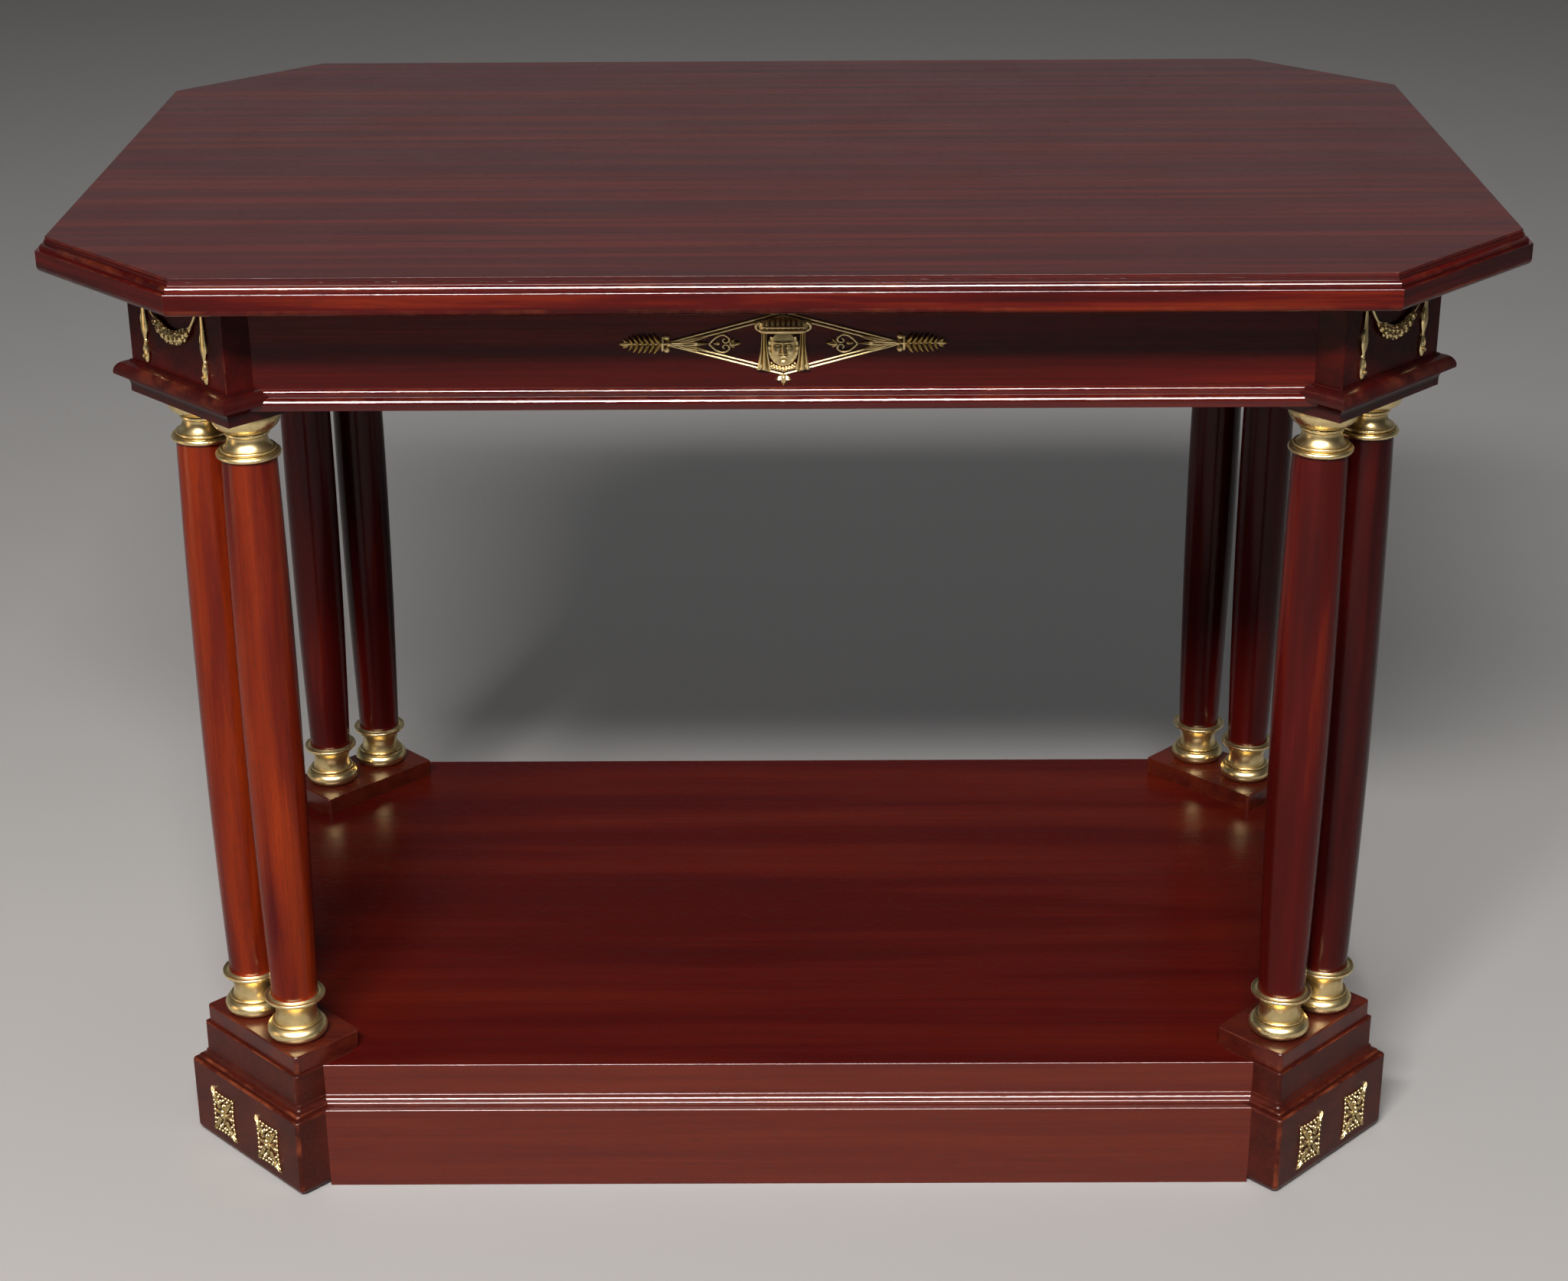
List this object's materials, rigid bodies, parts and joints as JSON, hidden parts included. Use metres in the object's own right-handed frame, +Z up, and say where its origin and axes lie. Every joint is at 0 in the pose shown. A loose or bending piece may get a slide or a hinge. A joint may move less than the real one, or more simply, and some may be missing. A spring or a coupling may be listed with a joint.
{
  "type": "gueridon",
  "caption": "Rectangular mahogany gueridon with canted corners on paired columns, a low shelf between the pedestals and gilt bronze bases, capitals and mounts.",
  "frame": {"origin": "middle of the footprint, on the floor", "axes": "+Z up, +X along the length, -Y to the front with the frieze mount"},
  "size_m": [1.07, 0.707, 0.77],
  "materials": {
    "mahogany": "french polish",
    "gilt_bronze": "polished gilt",
    "beech": "bare",
    "steel": "plain"
  },
  "bodies": {
    "root": {"top_panel": "mahogany", "top_edge_strips": "mahogany", "plinth_mouldings": "mahogany", "shelf": "mahogany", "apron_front": "mahogany", "apron_moulding_front": "mahogany", "plinth_board_front": "mahogany", "apron_right": "mahogany", "apron_moulding_right": "mahogany", "plinth_board_right": "mahogany", "apron_rear": "mahogany", "apron_moulding_rear": "mahogany", "plinth_board_rear": "mahogany", "apron_left": "mahogany", "apron_moulding_left": "mahogany", "plinth_board_left": "mahogany", "corner_block_front_right": "mahogany", "corner_moulding_front_right": "mahogany", "column_plate_front_right": "mahogany", "pedestal_upper_front_right": "mahogany", "pedestal_block_front_right": "mahogany", "column_shaft_front_right_a": "mahogany", "column_shaft_front_right_b": "mahogany", "corner_block_rear_right": "mahogany", "corner_moulding_rear_right": "mahogany", "column_plate_rear_right": "mahogany", "pedestal_upper_rear_right": "mahogany", "pedestal_block_rear_right": "mahogany", "column_shaft_rear_right_a": "mahogany", "column_shaft_rear_right_b": "mahogany", "corner_block_rear_left": "mahogany", "corner_moulding_rear_left": "mahogany", "column_plate_rear_left": "mahogany", "pedestal_upper_rear_left": "mahogany", "pedestal_block_rear_left": "mahogany", "column_shaft_rear_left_a": "mahogany", "column_shaft_rear_left_b": "mahogany", "corner_block_front_left": "mahogany", "corner_moulding_front_left": "mahogany", "column_plate_front_left": "mahogany", "pedestal_upper_front_left": "mahogany", "pedestal_block_front_left": "mahogany", "column_shaft_front_left_a": "mahogany", "column_shaft_front_left_b": "mahogany", "rosettes": "gilt_bronze", "garlands": "gilt_bronze", "frieze_mount": "gilt_bronze", "mount_pins": "gilt_bronze", "capitals_front_right": "gilt_bronze", "column_bases_front_right": "gilt_bronze", "capitals_rear_right": "gilt_bronze", "column_bases_rear_right": "gilt_bronze", "capitals_rear_left": "gilt_bronze", "column_bases_rear_left": "gilt_bronze", "capitals_front_left": "gilt_bronze", "column_bases_front_left": "gilt_bronze", "top_cleats": "beech", "shelf_cleats": "beech", "dowels": "beech", "cleat_screws": "steel"}
  },
  "joints": []
}
